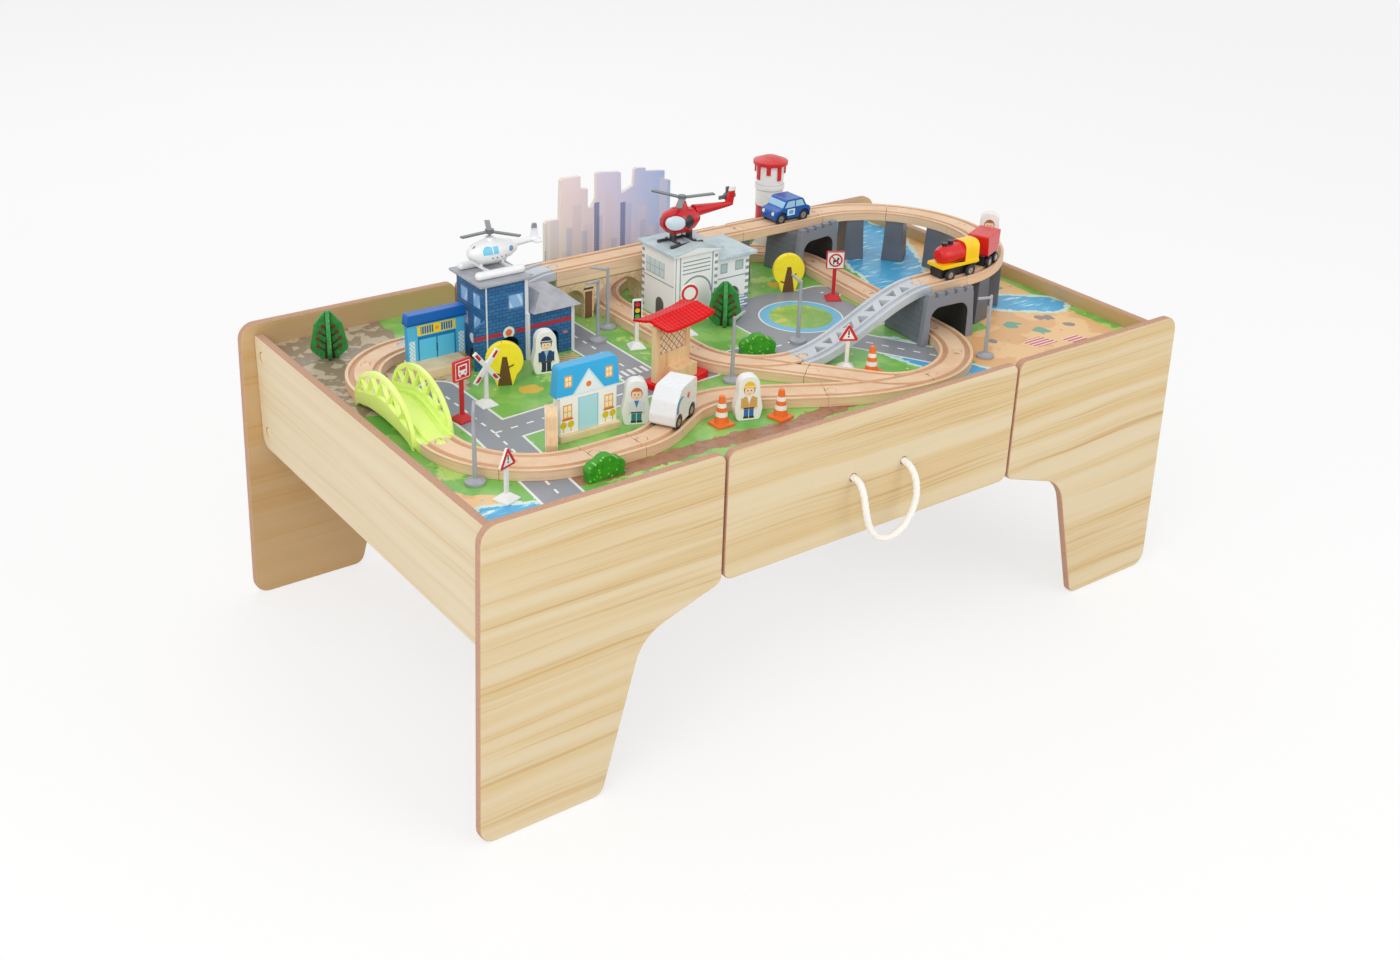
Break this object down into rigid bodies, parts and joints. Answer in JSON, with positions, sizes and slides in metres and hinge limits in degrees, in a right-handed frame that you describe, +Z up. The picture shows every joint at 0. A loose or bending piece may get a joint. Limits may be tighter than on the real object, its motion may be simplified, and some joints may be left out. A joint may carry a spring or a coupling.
{
  "type": "train table",
  "caption": "Low play table with splayed panel legs, a rope-handled drawer and a raised rim, carrying a wooden railway with a raised line, toy town, rolling stock and helicopters.",
  "frame": {"origin": "on the floor, under the middle of the table", "axes": "+X along the table's length, -Y is the drawer front, +Z up"},
  "size_m": [0.999, 0.604, 0.481],
  "materials": {
    "oak_laminate": "pale oak laminate on fibreboard, satin",
    "play_print": "printed fibreboard, satin lacquer",
    "raw_board": "plain board, matt",
    "cam_metal": "zinc-plated, dull",
    "drawer_board": "white-faced board, matt",
    "rope": "twisted cotton rope, matt",
    "beech": "oiled beech, satin",
    "lime_plastic": "moulded lime plastic, glossy",
    "light_grey_plastic": "moulded light grey plastic, satin",
    "dark_grey_plastic": "moulded dark grey plastic, satin",
    "printed_stone": "printed wood, satin",
    "printed_brick": "printed board, satin",
    "grey_roof": "printed board, satin",
    "printed_station": "printed board, satin",
    "printed_block": "printed wood, satin",
    "red_plastic": "moulded red plastic, glossy",
    "tower_paint": "painted wood, satin",
    "lamp_grey": "moulded grey plastic, satin",
    "sign_plastic": "moulded and printed plastic, satin",
    "cone_orange": "moulded orange plastic, satin",
    "tree_green": "printed wood, satin",
    "tree_yellow": "printed wood, satin",
    "figure_white": "painted and printed wood, satin",
    "toy_red": "painted, glossy",
    "toy_blue": "painted, glossy",
    "toy_white": "painted, glossy",
    "toy_wheel": "moulded black plastic, satin",
    "rotor_grey": "moulded grey plastic, satin"
  },
  "bodies": {
    "table": {"front_left_panel": "oak_laminate", "front_right_panel": "oak_laminate", "rear_left_panel": "oak_laminate", "rear_right_panel": "oak_laminate", "rear_middle_panel": "oak_laminate", "left_end_rail": "oak_laminate", "right_end_rail": "oak_laminate", "play_board": "play_print", "board_bearers": "raw_board", "drawer_guides": "raw_board", "cam_fittings": "cam_metal", "curved_tracks": "beech", "straight_tracks": "beech", "ramp_switch": "beech", "front_switch": "beech", "lime_bridge": "lime_plastic", "grey_ramps": "light_grey_plastic", "track_tunnels": "dark_grey_plastic", "track_piers": "dark_grey_plastic", "stone_viaduct": "printed_stone", "police_walls": "printed_brick", "police_roofs": "grey_roof", "station_walls": "printed_station", "station_roofs": "grey_roof", "garage_block": "printed_block", "house_block": "printed_block", "canopy_roof": "red_plastic", "canopy_posts": "beech", "canopy_platform": "red_plastic", "skyline_board": "printed_block", "water_tower": "tower_paint", "street_lamps": "lamp_grey", "road_signs": "sign_plastic", "traffic_cones": "cone_orange", "tree_boards": "tree_green", "round_trees": "tree_yellow", "bushes": "tree_green", "peg_figures": "figure_white", "loco_body": "toy_red", "wagon_body": "toy_red", "car_body": "toy_blue", "ambulance_body": "toy_white", "white_heli_body": "toy_white", "red_heli_body": "toy_red"},
    "drawer": {"drawer_front": "oak_laminate", "drawer_sides": "drawer_board", "drawer_back": "drawer_board", "drawer_bottom": "drawer_board", "rope_handle": "rope"},
    "loco_front_wheels": {"loco_front_wheels": "toy_wheel"},
    "loco_rear_wheels": {"loco_rear_wheels": "toy_wheel"},
    "wagon_front_wheels": {"wagon_front_wheels": "toy_wheel"},
    "wagon_rear_wheels": {"wagon_rear_wheels": "toy_wheel"},
    "car_front_wheels": {"car_front_wheels": "toy_wheel"},
    "car_rear_wheels": {"car_rear_wheels": "toy_wheel"},
    "ambulance_front_wheels": {"ambulance_front_wheels": "toy_wheel"},
    "ambulance_rear_wheels": {"ambulance_rear_wheels": "toy_wheel"},
    "white_heli_rotor": {"white_heli_rotor": "rotor_grey"},
    "red_heli_rotor": {"red_heli_rotor": "rotor_grey"},
    "red_heli_tail_rotor": {"red_heli_tail_rotor": "rotor_grey"}
  },
  "joints": [
    {"name": "drawer_slide", "type": "slide", "parent": "table", "child": "drawer", "axis": [0, -1, 0], "range_m": [0, 0.3]},
    {"name": "loco_front_axle", "type": "hinge", "parent": "table", "child": "loco_front_wheels", "pos_m": [0.258, -0.104, 0.4008], "axis": [0, -1, 0], "continuous": true},
    {"name": "loco_rear_axle", "type": "hinge", "parent": "table", "child": "loco_rear_wheels", "pos_m": [0.292, -0.104, 0.4008], "axis": [0, -1, 0], "continuous": true},
    {"name": "wagon_front_axle", "type": "hinge", "parent": "table", "child": "wagon_front_wheels", "pos_m": [0.32835, -0.09647, 0.4008], "axis": [0.4067, -0.9135, 0], "continuous": true},
    {"name": "wagon_rear_axle", "type": "hinge", "parent": "table", "child": "wagon_rear_wheels", "pos_m": [0.34845, -0.08753, 0.4008], "axis": [0.4067, -0.9135, 0], "continuous": true},
    {"name": "car_front_axle", "type": "hinge", "parent": "table", "child": "car_front_wheels", "pos_m": [0.213, 0.172, 0.4013], "axis": [0, -1, 0], "continuous": true},
    {"name": "car_rear_axle", "type": "hinge", "parent": "table", "child": "car_rear_wheels", "pos_m": [0.251, 0.172, 0.4013], "axis": [0, -1, 0], "continuous": true},
    {"name": "ambulance_front_axle", "type": "hinge", "parent": "table", "child": "ambulance_front_wheels", "pos_m": [-0.20237, -0.17036, 0.3443], "axis": [0.515, -0.8572, 0], "continuous": true},
    {"name": "ambulance_rear_axle", "type": "hinge", "parent": "table", "child": "ambulance_rear_wheels", "pos_m": [-0.17323, -0.15284, 0.3443], "axis": [0.515, -0.8572, 0], "continuous": true},
    {"name": "white_heli_mast", "type": "hinge", "parent": "table", "child": "white_heli_rotor", "pos_m": [-0.25, 0.116, 0.478], "axis": [0, 0, 1], "continuous": true},
    {"name": "red_heli_mast", "type": "hinge", "parent": "table", "child": "red_heli_rotor", "pos_m": [0.014, 0.11, 0.477], "axis": [0, 0, 1], "continuous": true},
    {"name": "red_heli_tail_shaft", "type": "hinge", "parent": "table", "child": "red_heli_tail_rotor", "pos_m": [0.088, 0.115, 0.465], "axis": [0, 1, 0], "continuous": true}
  ]
}
